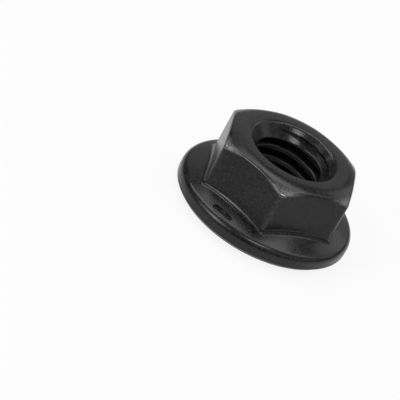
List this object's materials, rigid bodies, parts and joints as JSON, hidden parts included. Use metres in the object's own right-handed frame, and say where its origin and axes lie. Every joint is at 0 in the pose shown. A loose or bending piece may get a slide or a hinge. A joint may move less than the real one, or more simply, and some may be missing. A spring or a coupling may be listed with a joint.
{
  "type": "serrated flange nut",
  "caption": "Hexagon nut forged in one with a broad sloping round flange, tapped M8, with a ring of saw-tooth serrations under the flange and a black oxide finish.",
  "frame": {"origin": "on the thread's axis, in the plane of the serrations' crests, which the nut rests on", "axes": "+Z along the thread and out of the hexagon's end, -Z towards the bolt's head; two of the flats face +Y and -Y"},
  "size_m": [0.0178, 0.0178, 0.0078],
  "materials": {
    "black_steel": "semi-gloss black oxide over forged and machined steel"
  },
  "bodies": {
    "root": {"flange_nut": "black_steel"}
  },
  "joints": []
}
